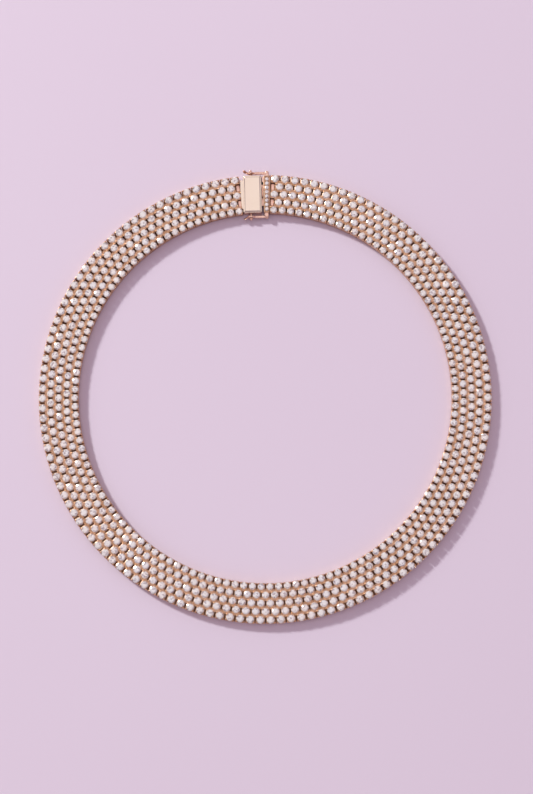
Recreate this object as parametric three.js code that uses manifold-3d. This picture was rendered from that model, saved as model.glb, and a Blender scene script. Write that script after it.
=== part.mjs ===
// A choker necklace lying closed and flat: five rows of stone-set links that run side by side
// round the neck, a box clasp with a plain polished cover, a spring tongue on a narrow bar set
// with small stones, and a swinging safety catch at each end of that bar.
// Millimetres, +Z up. It rests on the plane Z = 0 with the clasp on the +Y side, and the origin
// is under the middle of its outline. Angles are clockwise from +Y as seen from above.

import * as THREE from 'three';
import { mergeVertices } from 'three/addons/utils/BufferGeometryUtils.js';
import Module from 'manifold-3d';

const wasm = await Module();
wasm.setup();

// Ring of stone links
const middleRowRadius = 64.7;
const rowSpacing = 2.53;
const rowGap = 0.3;
const stonesInFullRow = 136;
const claspSpanDegrees = 10.6;

// Link with its square collet and stone
const colletShare = 0.77;
const stoneShare = 0.705;
const tableShare = 0.75;
const linkBaseHeight = 1.3;
const colletRise = 1.15;
const crownRise = 0.45;
const linksPerBaseEdge = 3;

// Blank half links beside the clasp
const blankLinkHeight = 2.2;
const blankLinkBevel = 0.25;

// Clasp as a whole
const claspTurnDegrees = 1.5;
const claspLength = 12.2;
const claspClearance = 0.25;
const mouthGap = 0.6;

// Box with its soldered cover
const boxHeight = 2.45;
const boxCornerRadius = 0.5;
const coverInset = 0.15;
const coverEdgeHeight = 0.35;
const coverBevelWidth = 0.65;
const coverBevelHeight = 0.45;
const lipWidth = 0.62;
const lipLength = 9;
const lipHeight = 2.3;
const lipSink = 0.4;

// Spring tongue, folded from one strip
const tongueWidth = 7;
const tongueReach = 4.6;
const tongueStrip = 0.32;
const tongueFoldGap = 0.35;
const tongueBottom = 0.9;
const tongueRoot = 0.35;
const tongueClearance = 0.25;
const tabWidth = 3.2;
const tabOffset = 0.8;
const tabHeight = 2.6;
const slotOvercut = 1;

// Bar of small stones that carries the tongue
const barWidth = 2.1;
const barHeight = 2.65;
const barBevel = 0.25;
const barStoneCount = 8;
const barStoneStep = 1.4;
const barStoneDiameter = 1.08;
const barStoneTable = 0.6;
const barStoneRise = 0.3;
const barStoneSides = 8;

// Safety catches, their hinges and the ball pegs they snap over
const catchHeight = 1.45;
const catchStandoff = 1.05;
const catchWire = 0.76;
const eyeWire = 0.5;
const eyeHoleDiameter = 1.2;
const pegClearance = 0.15;
const pegNeckDiameter = 0.5;
const pegOffset = -0.5;
const pegSink = 0.4;
const pegSeatShare = 0.8;
const pegTopShare = 0.7;
const thumbLength = 1.7;
const thumbWidth = 1.1;
const thumbThickness = 0.5;
const thumbLeanDegrees = 28;
const thumbSides = 8;
const hingePinDiameter = 0.5;
const hingeClearance = 0.15;
const knuckleWall = 0.24;
const knuckleHeight = 1;
const earThickness = 0.35;
const earSink = 0.3;
const earReachShare = 0.6;

const roundSides = 10;
const wireSides = 6;
const smallestRadius = 0.05;

const radians = THREE.MathUtils.degToRad;

// Places worked out from the sizes
const rowNames = [
  'stone_row_1_outer', 'stone_row_2', 'stone_row_3_middle', 'stone_row_4', 'stone_row_5_inner',
];
const middleRow = (rowNames.length - 1) / 2;
const rowHalfWidth = (rowSpacing - rowGap) / 2;
const stoneStep = radians((360 - claspSpanDegrees) / (stonesInFullRow - 1));
const firstStone = radians(claspSpanDegrees) / 2;
const colletHalfAngle = stoneStep * colletShare / 2;
const rowEndAngle = firstStone - colletHalfAngle;
const colletTop = linkBaseHeight + colletRise;
const stoneTop = colletTop + crownRise;

const rowRadius = (row) => middleRowRadius + (middleRow - row) * rowSpacing;
const isStaggered = (row) => row % 2 === 1;

function ringPoint(angle, radius, z) {
  return new THREE.Vector3(radius * Math.sin(angle), radius * Math.cos(angle), z);
}

// Frame of the clasp: x along the band, y outwards, origin on the middle row
const claspTurn = radians(claspTurnDegrees);
const claspHalf = claspLength / 2;
const ringCentreInClasp = new THREE.Vector2(
  middleRowRadius * Math.sin(claspTurn),
  -middleRowRadius * Math.cos(claspTurn),
);

// Where the rows end beside the clasp, less the clearance: side is 1 to the right, -1 to the left
function rowEndAt(side, y) {
  const lean = side * rowEndAngle - claspTurn;
  const along = (y - ringCentreInClasp.y) * Math.tan(lean);
  return ringCentreInClasp.x + along - side * claspClearance / Math.cos(lean);
}

const barLeft = rowEndAt(1, 0) - barWidth;
const boxRight = barLeft - mouthGap;
const boxLeft = rowEndAt(-1, -claspHalf);
const boxMiddle = (boxLeft + boxRight) / 2;
const pegX = boxMiddle + pegOffset;
const hingeY = claspHalf + catchStandoff;
const knuckleHole = hingePinDiameter + 2 * hingeClearance;
const knuckleDiameter = knuckleHole + 2 * knuckleWall;
const tongueTop = tongueBottom + 2 * tongueStrip + tongueFoldGap;
const hingeX = (side) => (barLeft + rowEndAt(1, side * claspHalf)) / 2;

// Closed meshes from corners and faces
function closedGeometry(corners, faces) {
  const geometry = new THREE.BufferGeometry();
  geometry.setAttribute('position', new THREE.Float32BufferAttribute(corners.flat(), 3));
  geometry.setIndex(faces.flat());
  return geometry;
}

// Only the position of each corner is kept, and faces that merging has closed up are left out
function toSolid(geometry, matrix = new THREE.Matrix4()) {
  const bare = geometry.clone().applyMatrix4(matrix);
  bare.deleteAttribute('normal');
  bare.deleteAttribute('uv');
  const merged = mergeVertices(bare, 1e-5);
  const index = merged.index.array;
  const faces = [];
  for (let i = 0; i < index.length; i += 3) {
    const [a, b, c] = [index[i], index[i + 1], index[i + 2]];
    if (a !== b && b !== c && c !== a) faces.push(a, b, c);
  }
  return new wasm.Manifold(new wasm.Mesh({
    numProp: 3,
    vertProperties: new Float32Array(merged.attributes.position.array),
    triVerts: new Uint32Array(faces),
  }));
}

function fromSolid(solid) {
  const mesh = solid.getMesh();
  const geometry = new THREE.BufferGeometry();
  geometry.setAttribute('position', new THREE.BufferAttribute(mesh.vertProperties, 3));
  geometry.setIndex(new THREE.BufferAttribute(mesh.triVerts, 1));
  return geometry;
}

// A solid through outlines of equal point count, each counter-clockwise at its own height
function stackedGeometry(levels) {
  const size = levels[0].outline.length;
  const corners = levels.flatMap(({ outline, z }) => outline.map((p) => [p.x, p.y, z]));
  const top = (levels.length - 1) * size;
  const faces = [];
  for (let level = 0; level < levels.length - 1; level += 1) {
    for (let i = 0; i < size; i += 1) {
      const next = (i + 1) % size;
      const [a, b] = [level * size + i, level * size + next];
      faces.push([a, b, b + size], [a, b + size, a + size]);
    }
  }
  for (const [a, b, c] of THREE.ShapeUtils.triangulateShape(levels[0].outline, [])) {
    faces.push([a, c, b]);
  }
  for (const [a, b, c] of THREE.ShapeUtils.triangulateShape(levels.at(-1).outline, [])) {
    faces.push([top + a, top + b, top + c]);
  }
  return closedGeometry(corners, faces);
}

// Rectangle with rounded corners of three points each, counter-clockwise, drawn in by an inset
function roundedOutline(left, right, bottom, top, radius, inset) {
  const reach = Math.max(radius - inset, smallestRadius);
  const centres = [
    [right - inset - reach, bottom + inset + reach, -90],
    [right - inset - reach, top - inset - reach, 0],
    [left + inset + reach, top - inset - reach, 90],
    [left + inset + reach, bottom + inset + reach, 180],
  ];
  return centres.flatMap(([x, y, start]) => [0, 45, 90].map((turn) => {
    const angle = radians(start + turn);
    return new THREE.Vector2(x + reach * Math.cos(angle), y + reach * Math.sin(angle));
  }));
}

// Straight rod of round section between two points
function rodGeometry(from, to, diameter, sides) {
  const along = new THREE.Vector3().subVectors(to, from);
  const rod = new THREE.CylinderGeometry(diameter / 2, diameter / 2, along.length(), sides);
  const upright = new THREE.Vector3(0, 1, 0);
  const turn = new THREE.Quaternion().setFromUnitVectors(upright, along.normalize());
  const middle = new THREE.Vector3().addVectors(from, to).multiplyScalar(0.5);
  return rod.applyMatrix4(new THREE.Matrix4().compose(middle, turn, new THREE.Vector3(1, 1, 1)));
}

function boxBetween(low, high) {
  const size = new THREE.Vector3().subVectors(high, low);
  const middle = new THREE.Vector3().addVectors(low, high).multiplyScalar(0.5);
  return new THREE.BoxGeometry(size.x, size.y, size.z).translate(middle.x, middle.y, middle.z);
}

// One row of links: square collets with a table and eight facets each, parted by notches
function rowGeometry(row) {
  const radius = rowRadius(row);
  const sides = [radius - rowHalfWidth, radius + rowHalfWidth];
  const count = isStaggered(row) ? stonesInFullRow - 1 : stonesInFullRow;
  const start = isStaggered(row) ? firstStone + stoneStep / 2 : firstStone;
  const tableReach = radius * stoneStep * stoneShare / 2 * tableShare;
  const corners = [];
  const faces = [];
  const corner = (angle, distance, z) => corners.push(ringPoint(angle, distance, z).toArray()) - 1;
  const quad = (a, b, c, d) => faces.push([a, b, c], [a, c, d]);
  const links = [];
  for (let i = 0; i < count; i += 1) {
    const angle = start + i * stoneStep;
    const [left, right] = [angle - colletHalfAngle, angle + colletHalfAngle];
    const rim = [[left, 0], [right, 0], [right, 1], [left, 1]];
    const [p, q, r, s] = rim.map(([a, side]) => corner(a, sides[side], colletTop));
    const turn = tableReach / radius;
    const south = corner(angle, radius - tableReach, stoneTop);
    const east = corner(angle + turn, radius, stoneTop);
    const north = corner(angle, radius + tableReach, stoneTop);
    const west = corner(angle - turn, radius, stoneTop);
    faces.push([p, q, south], [q, r, east], [r, s, north], [s, p, west]);
    faces.push([q, east, south], [r, north, east], [s, west, north], [p, south, west]);
    quad(south, east, north, west);
    links.push({ left, right, rim: [p, q, r, s], notch: null });
  }
  for (let i = 0; i < count - 1; i += 1) {
    const [link, next] = [links[i], links[i + 1]];
    const angle = (link.right + next.left) / 2;
    const [inner, outer] = sides.map((distance) => corner(angle, distance, linkBaseHeight));
    quad(link.rim[1], inner, outer, link.rim[2]);
    quad(inner, next.rim[0], next.rim[3], outer);
    link.notch = [inner, outer];
    link.notchAngle = angle;
  }
  // Underside and side walls, a few links at a time between two corners of the base
  let base = sides.map((distance) => corner(links[0].left, distance, 0));
  quad(links[0].rim[0], links[0].rim[3], base[1], base[0]);
  for (let first = 0; first < count; first += linksPerBaseEdge) {
    const last = Math.min(first + linksPerBaseEdge, count) - 1;
    const end = last === count - 1;
    const angle = end ? links[last].right : links[last].notchAngle;
    const nextBase = sides.map((distance) => corner(angle, distance, 0));
    quad(base[0], base[1], nextBase[1], nextBase[0]);
    for (const side of [0, 1]) {
      const [rimLeft, rimRight] = side === 0 ? [0, 1] : [3, 2];
      const wall = [base[side], nextBase[side]];
      for (let i = last; i >= first; i -= 1) {
        if (links[i].notch) wall.push(links[i].notch[side]);
        wall.push(links[i].rim[rimRight], links[i].rim[rimLeft]);
      }
      if (first > 0) wall.push(links[first - 1].notch[side]);
      const flat = wall.map((at) => {
        const [x, y, z] = corners[at];
        return new THREE.Vector2(((Math.atan2(x, y) + 2 * Math.PI) % (2 * Math.PI)) * radius, z);
      });
      for (const [a, b, c] of THREE.ShapeUtils.triangulateShape(flat, [])) {
        faces.push(side === 0 ? [wall[a], wall[b], wall[c]] : [wall[a], wall[c], wall[b]]);
      }
    }
    base = nextBase;
  }
  const lastLink = links[count - 1];
  quad(lastLink.rim[2], lastLink.rim[1], base[0], base[1]);
  return closedGeometry(corners, faces);
}

// Plain half link that fills a staggered row beside the clasp, with a bevelled top edge
function blankLinkGeometry(row, side) {
  const radius = rowRadius(row);
  const near = rowEndAngle;
  const far = firstStone + stoneStep / 2 - colletHalfAngle - rowGap / radius;
  const outline = (inset) => {
    const [low, high] = [near + inset / radius, far - inset / radius];
    const [left, right] = side > 0 ? [low, high] : [-high, -low];
    const [inner, outer] = [radius - rowHalfWidth + inset, radius + rowHalfWidth - inset];
    return [[left, inner], [right, inner], [right, outer], [left, outer]].map(([angle, distance]) => {
      const point = ringPoint(angle, distance, 0);
      return new THREE.Vector2(point.x, point.y);
    });
  };
  return stackedGeometry([
    { outline: outline(0), z: 0 },
    { outline: outline(0), z: blankLinkHeight - blankLinkBevel },
    { outline: outline(blankLinkBevel), z: blankLinkHeight },
  ]);
}

// Ball peg that stands out of the side of the box: side is 1 on the outer end, -1 on the inner
function pegGeometry(side) {
  const ballRadius = eyeHoleDiameter / 2 - pegClearance;
  const ballCentre = catchStandoff + eyeWire / 2 + ballRadius * pegSeatShare;
  const neckRadius = pegNeckDiameter / 2;
  const neckEnd = ballCentre - Math.sqrt(ballRadius ** 2 - neckRadius ** 2);
  const profile = [
    new THREE.Vector2(0, -pegSink),
    new THREE.Vector2(neckRadius, -pegSink),
    new THREE.Vector2(neckRadius, neckEnd),
    new THREE.Vector2(ballRadius, ballCentre),
    new THREE.Vector2(ballRadius * pegTopShare, ballCentre + ballRadius * pegTopShare),
    new THREE.Vector2(0, ballCentre + ballRadius),
  ];
  const peg = new THREE.LatheGeometry(profile, roundSides);
  if (side < 0) peg.rotateZ(Math.PI);
  return peg.translate(pegX, side * claspHalf, catchHeight);
}

// Box with its cover and lip soldered on, open at the mouth for the tongue
function claspBoxGeometry() {
  const outline = (inset) => roundedOutline(
    boxLeft, boxRight, -claspHalf, claspHalf, boxCornerRadius, inset,
  );
  const coverTop = boxHeight + coverEdgeHeight + coverBevelHeight;
  const body = toSolid(stackedGeometry([
    { outline: outline(0), z: 0 },
    { outline: outline(0), z: boxHeight },
    { outline: outline(coverInset), z: boxHeight },
    { outline: outline(coverInset), z: boxHeight + coverEdgeHeight },
    { outline: outline(coverInset + coverBevelWidth), z: coverTop },
  ]));
  const lipHalf = lipLength / 2;
  const lipEdge = (y) => Math.max(rowEndAt(-1, y), boxLeft - lipWidth);
  const lipOutline = [
    new THREE.Vector2(lipEdge(-lipHalf), -lipHalf),
    new THREE.Vector2(boxLeft + lipSink, -lipHalf),
    new THREE.Vector2(boxLeft + lipSink, lipHalf),
    new THREE.Vector2(lipEdge(lipHalf), lipHalf),
  ];
  const lip = toSolid(stackedGeometry([
    { outline: lipOutline, z: 0 },
    { outline: lipOutline, z: lipHeight },
  ]));
  const pocketHalf = tongueWidth / 2 + tongueClearance;
  const pocket = toSolid(boxBetween(
    new THREE.Vector3(boxRight - tongueReach - tongueClearance, -pocketHalf,
      tongueBottom - tongueClearance),
    new THREE.Vector3(boxRight + slotOvercut, pocketHalf, tongueTop + tongueClearance),
  ));
  return fromSolid(body.add(lip).subtract(pocket)
    .add(toSolid(pegGeometry(1))).add(toSolid(pegGeometry(-1))));
}

// Strip folded back on itself at its tip, its upper leaf ending in a press tab at the mouth
function tongueGeometry() {
  const tip = boxRight - tongueReach;
  const root = barLeft + tongueRoot;
  const tab = (boxRight + barLeft + tongueStrip) / 2;
  const upper = tongueTop - tongueStrip;
  const leafOutline = [
    [tip, tongueBottom], [root, tongueBottom], [root, tongueBottom + tongueStrip],
    [tip + tongueStrip, tongueBottom + tongueStrip], [tip + tongueStrip, upper],
    [tab, upper], [tab, tongueTop], [tip, tongueTop],
  ];
  const shape = new THREE.Shape(leafOutline.map(([x, y]) => new THREE.Vector2(x, y)));
  const leaf = new THREE.ExtrudeGeometry(shape, { depth: tongueWidth, bevelEnabled: false });
  leaf.rotateX(Math.PI / 2).translate(0, tongueWidth / 2, 0);
  const tabBox = boxBetween(
    new THREE.Vector3(tab - tongueStrip, tabOffset - tabWidth / 2, upper),
    new THREE.Vector3(tab, tabOffset + tabWidth / 2, tabHeight),
  );
  return fromSolid(toSolid(leaf).add(toSolid(tabBox)));
}

// Bar of small stones with a slot for the tongue and the ears and pins of both catches
function barGeometry() {
  const outline = (inset) => [
    new THREE.Vector2(barLeft + inset, -claspHalf + inset),
    new THREE.Vector2(rowEndAt(1, -claspHalf) - inset, -claspHalf + inset),
    new THREE.Vector2(rowEndAt(1, claspHalf) - inset, claspHalf - inset),
    new THREE.Vector2(barLeft + inset, claspHalf - inset),
  ];
  let bar = toSolid(stackedGeometry([
    { outline: outline(0), z: 0 },
    { outline: outline(0), z: barHeight - barBevel },
    { outline: outline(barBevel), z: barHeight },
  ]));
  for (let i = 0; i < barStoneCount; i += 1) {
    const y = (i - (barStoneCount - 1) / 2) * barStoneStep;
    const stone = new THREE.CylinderGeometry(
      barStoneDiameter * barStoneTable / 2, barStoneDiameter / 2, barStoneRise * 2, barStoneSides,
    );
    stone.rotateX(Math.PI / 2).translate((barLeft + rowEndAt(1, y)) / 2, y, barHeight);
    bar = bar.add(toSolid(stone));
  }
  const slotHalf = tongueWidth / 2 + tongueClearance;
  bar = bar.subtract(toSolid(boxBetween(
    new THREE.Vector3(barLeft - slotOvercut, -slotHalf, tongueBottom - tongueClearance),
    new THREE.Vector3(barLeft + tongueRoot + tongueClearance, slotHalf,
      tongueBottom + tongueStrip + tongueClearance),
  )));
  const earReach = knuckleDiameter / 2;
  const earStart = knuckleHeight / 2 + hingeClearance;
  for (const side of [-1, 1]) {
    const x = hingeX(side);
    for (const level of [-1, 1]) {
      const [near, far] = [claspHalf - earSink, hingeY + earReach * earReachShare].map((y) => side * y);
      const [low, high] = [earStart, earStart + earThickness].map((z) => catchHeight + level * z);
      bar = bar.add(toSolid(boxBetween(
        new THREE.Vector3(x - earReach, Math.min(near, far), Math.min(low, high)),
        new THREE.Vector3(x + earReach, Math.max(near, far), Math.max(low, high)),
      )));
    }
    const pinReach = earStart + earThickness / 2;
    bar = bar.add(toSolid(rodGeometry(
      new THREE.Vector3(x, side * hingeY, catchHeight - pinReach),
      new THREE.Vector3(x, side * hingeY, catchHeight + pinReach),
      hingePinDiameter, roundSides,
    )));
  }
  return fromSolid(bar);
}

// Safety catch: a knuckle, a straight wire, an eye round the ball peg and a thumb piece
function catchGeometry(side) {
  const hinge = new THREE.Vector3(hingeX(side), side * hingeY, catchHeight);
  const eye = new THREE.Vector3(pegX, side * hingeY, catchHeight);
  const eyeRadius = (eyeHoleDiameter + eyeWire) / 2;
  const knuckleShape = new THREE.Shape().absarc(0, 0, knuckleDiameter / 2, 0, 2 * Math.PI, false);
  knuckleShape.holes.push(new THREE.Path().absarc(0, 0, knuckleHole / 2, 0, 2 * Math.PI, true));
  const knuckle = new THREE.ExtrudeGeometry(knuckleShape, {
    depth: knuckleHeight, bevelEnabled: false, curveSegments: roundSides / 2,
  });
  knuckle.translate(hinge.x, hinge.y, hinge.z - knuckleHeight / 2);
  const wireStart = hinge.clone();
  wireStart.x -= (knuckleHole + knuckleWall) / 2;
  const wireEnd = eye.clone();
  wireEnd.x += eyeRadius;
  const ring = new THREE.TorusGeometry(eyeRadius, eyeWire / 2, wireSides - 1, roundSides);
  ring.rotateX(Math.PI / 2).translate(eye.x, eye.y, eye.z);
  const lean = radians(thumbLeanDegrees);
  const thumb = new THREE.CylinderGeometry(
    thumbWidth / 2, thumbWidth / 2, thumbThickness, thumbSides,
  );
  thumb.scale(thumbLength / thumbWidth, 1, 1).translate(-thumbLength / 2, 0, 0);
  thumb.rotateZ(-side * lean).translate(eye.x - eyeRadius + eyeWire / 4, eye.y, eye.z);
  return fromSolid(toSolid(knuckle)
    .add(toSolid(rodGeometry(wireStart, wireEnd, catchWire, wireSides)))
    .add(toSolid(ring)).add(toSolid(thumb)));
}

// Finishes
function roseGold(color, roughness) {
  return new THREE.MeshStandardMaterial({ color, roughness, metalness: 1 });
}

const settingGold = roseGold(0xd2a48c, 0.3);
const coverGold = roseGold(0xe6c3b0, 0.15);
const trimGold = roseGold(0xcf9d86, 0.22);

function named(name, geometry, material) {
  const mesh = new THREE.Mesh(geometry, material);
  mesh.name = name;
  return mesh;
}

// The whole necklace
const necklace = new THREE.Group();
rowNames.forEach((name, row) => necklace.add(named(name, rowGeometry(row), settingGold)));
for (const row of [1, 3]) {
  for (const [side, place] of [[-1, 'box_side'], [1, 'tongue_side']]) {
    const name = `blank_link_row_${row + 1}_${place}`;
    necklace.add(named(name, blankLinkGeometry(row, side), trimGold));
  }
}

const clasp = new THREE.Group();
clasp.position.set(0, middleRowRadius, 0);
clasp.rotation.z = -claspTurn;
clasp.add(named('clasp_box', claspBoxGeometry(), coverGold));
clasp.add(named('clasp_tongue', tongueGeometry(), trimGold));
clasp.add(named('stone_bar', barGeometry(), settingGold));
clasp.add(named('safety_catch_inner', catchGeometry(-1), trimGold));
clasp.add(named('safety_catch_outer', catchGeometry(1), trimGold));
necklace.add(clasp);

const outlineMiddle = new THREE.Box3().setFromObject(necklace).getCenter(new THREE.Vector3());
necklace.position.set(-outlineMiddle.x, -outlineMiddle.y, 0);

export default necklace;
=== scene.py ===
# Choker necklace lying closed: five rows of stone-set links, a box clasp with a polished cover,
# a bar of small stones and two safety catches. Shapes are worked out in millimetres.

import math
import random

import bmesh
import bpy
import numpy as np
from mathutils import Matrix, Vector


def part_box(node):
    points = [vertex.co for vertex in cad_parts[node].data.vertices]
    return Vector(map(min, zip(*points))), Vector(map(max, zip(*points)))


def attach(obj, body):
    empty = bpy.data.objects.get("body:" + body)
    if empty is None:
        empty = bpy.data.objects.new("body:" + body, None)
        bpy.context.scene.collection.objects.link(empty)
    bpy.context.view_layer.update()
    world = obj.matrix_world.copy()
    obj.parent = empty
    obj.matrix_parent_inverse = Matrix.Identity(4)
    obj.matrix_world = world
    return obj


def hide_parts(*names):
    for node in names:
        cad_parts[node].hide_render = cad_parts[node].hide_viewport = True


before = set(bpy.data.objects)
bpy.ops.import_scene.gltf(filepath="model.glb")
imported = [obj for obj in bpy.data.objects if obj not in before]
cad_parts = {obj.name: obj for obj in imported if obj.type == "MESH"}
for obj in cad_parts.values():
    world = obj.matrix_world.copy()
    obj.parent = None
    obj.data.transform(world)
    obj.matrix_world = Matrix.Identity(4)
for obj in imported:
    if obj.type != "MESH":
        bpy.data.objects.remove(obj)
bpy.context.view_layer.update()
mm = 0.001
print("frame loaded:", len(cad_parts), "nodes")


# Mesh helpers: a part is a list of corners and a list of faces

def loft(loops, ends="capped"):  # skin over loops of corners, capped or joined into a ring
    size, count = len(loops[0]), len(loops)
    corners = [corner for loop in loops for corner in loop]
    faces = []
    for i in range(count if ends == "joined" else count - 1):
        low, high = i * size, (i + 1) % count * size
        for j in range(size):
            k = (j + 1) % size
            faces.append((low + j, low + k, high + k, high + j))
    if ends == "capped":
        faces.append(tuple(reversed(range(size))))
        faces.append(tuple(range((count - 1) * size, count * size)))
    return corners, faces


def joined(parts):
    corners, faces = [], []
    for partCorners, partFaces in parts:
        start = len(corners)
        corners.extend(partCorners)
        faces.extend(tuple(start + i for i in face) for face in partFaces)
    return corners, faces


def moved(part, place):
    corners, faces = part
    return [place(*corner) for corner in corners], faces


def fullTurn(count):
    return [2 * math.pi * k / count for k in range(count)]


def inRadians(angles):
    return [math.radians(angle) for angle in angles]


leastFlat = 0.01  # stays straight between two round corners


def roundedLoop(left, right, low, high, corner, z, steps=2):
    corner = min(corner, (right - left) / 2 - leastFlat, (high - low) / 2 - leastFlat)
    centres = [(right - corner, low + corner), (right - corner, high - corner),
               (left + corner, high - corner), (left + corner, low + corner)]
    loop = []
    for quarter, (x, y) in enumerate(centres):
        for j in range(steps + 1):
            turn = math.radians(90 * (quarter - 1) + 90 * j / steps)
            loop.append((x + corner * math.cos(turn), y + corner * math.sin(turn), z))
    return loop


def lathe(profile, sides):  # profile of (radius, height), turned round the Z axis
    return loft([[(radius * math.cos(t), radius * math.sin(t), height) for t in fullTurn(sides)]
                 for radius, height in profile])


domeStart = 0.35  # the first ring of a domed end, as a share of one step


def wire(points, radii, sides=12, domes=3, closed=False):  # round wire along points
    points = [Vector(p) for p in points]
    if not closed:  # domed ends: the first and last point are the very tips
        start = (points[1] - points[0]).normalized()
        end = (points[-2] - points[-1]).normalized()
        head, tail = radii[0], radii[-1]
        arcs = [math.pi / 2 * (j + domeStart) / domes for j in range(domes)]
        points = ([points[0] + start * head * (1 - math.cos(t)) for t in arcs] + points[1:-1]
                  + [points[-1] + end * tail * (1 - math.cos(t)) for t in reversed(arcs)])
        radii = ([head * math.sin(t) for t in arcs] + list(radii[1:-1])
                 + [tail * math.sin(t) for t in reversed(arcs)])
    loops = []
    side = None
    for i, point in enumerate(points):
        before = points[i - 1] if i or closed else point
        after = points[(i + 1) % len(points)] if i < len(points) - 1 or closed else point
        along = (after - before).normalized()
        if side is None:
            side = along.orthogonal()
        side = (side - along * side.dot(along)).normalized()
        other = along.cross(side)
        loops.append([tuple(point + radii[i] * (side * math.cos(t) + other * math.sin(t)))
                      for t in fullTurn(sides)])
    return loft(loops, "joined" if closed else "capped")


def faceOut(mesh):  # turns every face outwards
    work = bmesh.new()
    work.from_mesh(mesh)
    bmesh.ops.recalc_face_normals(work, faces=work.faces)
    work.to_mesh(mesh)
    work.free()


def meshOf(name, part):
    corners, faces = part
    mesh = bpy.data.meshes.new(name)
    mesh.from_pydata([(x * mm, y * mm, z * mm) for x, y, z in corners], [], faces)
    return mesh


def addPiece(name, part, material, slot, replaces, body="necklace", crease=32):
    mesh = meshOf(name, part)
    mesh.validate()
    faceOut(mesh)
    mesh.shade_smooth()
    mesh.set_sharp_from_angle(angle=math.radians(crease))
    mesh.materials.append(material)
    piece = bpy.data.objects.new(name, mesh)
    bpy.context.scene.collection.objects.link(piece)
    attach(piece, body)
    if replaces:
        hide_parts(*replaces)
    return piece


def cutAway(piece, part):  # takes a closed part out of a piece for good
    mesh = meshOf("cutter", part)
    cutter = bpy.data.objects.new("cutter", mesh)
    bpy.context.scene.collection.objects.link(cutter)
    cut = piece.modifiers.new("cut", "BOOLEAN")
    cut.operation, cut.solver, cut.object = "DIFFERENCE", "EXACT", cutter
    bpy.context.view_layer.update()
    whole = piece.evaluated_get(bpy.context.evaluated_depsgraph_get())
    piece.data = bpy.data.meshes.new_from_object(whole)
    piece.modifiers.clear()
    bpy.data.objects.remove(cutter)
    bpy.data.meshes.remove(mesh)


# Materials: three finishes of rose gold, the setting copy painted darker as shade and the cover copy
# painted paler as light, each with painted shade in narrow gaps; and the clear stones, with painted
# facet shading

golds = {
    # setting gold: the same rose gold with a darker base tone, painted shade for the dim metal among
    # the stones
    "rose_gold_setting": {
        "deep": (0.66, 0.42, 0.25), "pale": (0.79, 0.55, 0.37), "roughness": (0.28, 0.44),
        "cloudScale": 260, "grainScale": 5200, "grainDepth": 0.012,
        "paintedShade": (0.15, 0.035, 0.018), "reach": 1.5,  # painted shade colour of narrow gaps, and how wide they are
    },
    "rose_gold_polished": {
        "deep": (0.80, 0.54, 0.41), "pale": (0.90, 0.66, 0.52), "roughness": (0.18, 0.32),
        "cloudScale": 300, "grainScale": 3800, "grainDepth": 0.006,
        "paintedShade": (0.13, 0.05, 0.03), "reach": 1.4,
    },
    # cover gold: the same rose gold with a paler, yellower base tone, painted light on the cover and
    # the lip
    "rose_gold_cover": {
        "deep": (0.88, 0.80, 0.63), "pale": (0.90, 0.83, 0.66), "roughness": (0.08, 0.18),
        "cloudScale": 120, "grainScale": 2600, "grainDepth": 0.003,
        "paintedShade": (0.6, 0.4, 0.3), "reach": 0.3,
    },
}
# the last three values set the painted shade in narrow gaps
polish = {"cloudDetail": 3, "cloudFrom": 0.35, "cloudTo": 0.65, "grainDetail": 4,
          "grainStrength": 0.4, "paintedShadeSamples": 8, "paintedShadeFrom": 0.06, "paintedShadeTo": 0.3}
clear = {
    "index": 2.42, "transmission": 0.2,
    "tints": [(0.99, 1, 0.93), (0.96, 0.99, 0.95), (1, 0.985, 0.91), (0.98, 1, 0.93)],
    # painted reflection: the dark and bright facet colours and the sparkle patches stand in for
    # light thrown back by the cut
    "paintedDarkFacet": (0.5, 0.45, 0.49), "paintedBrightFacet": (1, 1, 1), "darkUpTo": 0.24, "brightFrom": 0.4,
    "facetSpread": 9.0, "paintedSparkleSize": 0.5, "paintedSparkleShare": 0.6,
}


def newMaterial(name):
    material = bpy.data.materials.new(name)
    material.use_nodes = True
    tree = material.node_tree
    return material, tree.nodes, tree.links, tree.nodes["Principled BSDF"]


def setRamp(node, stops):  # stops of (position, colour)
    elements = node.color_ramp.elements
    for i, (position, color) in enumerate(stops):
        stop = elements[i] if i < 2 else elements.new(position)
        stop.position, stop.color = position, (*color, 1)


def noiseNode(nodes, scale, detail):
    noise = nodes.new("ShaderNodeTexNoise")
    noise.inputs["Scale"].default_value = scale
    noise.inputs["Detail"].default_value = detail
    return noise


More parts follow.
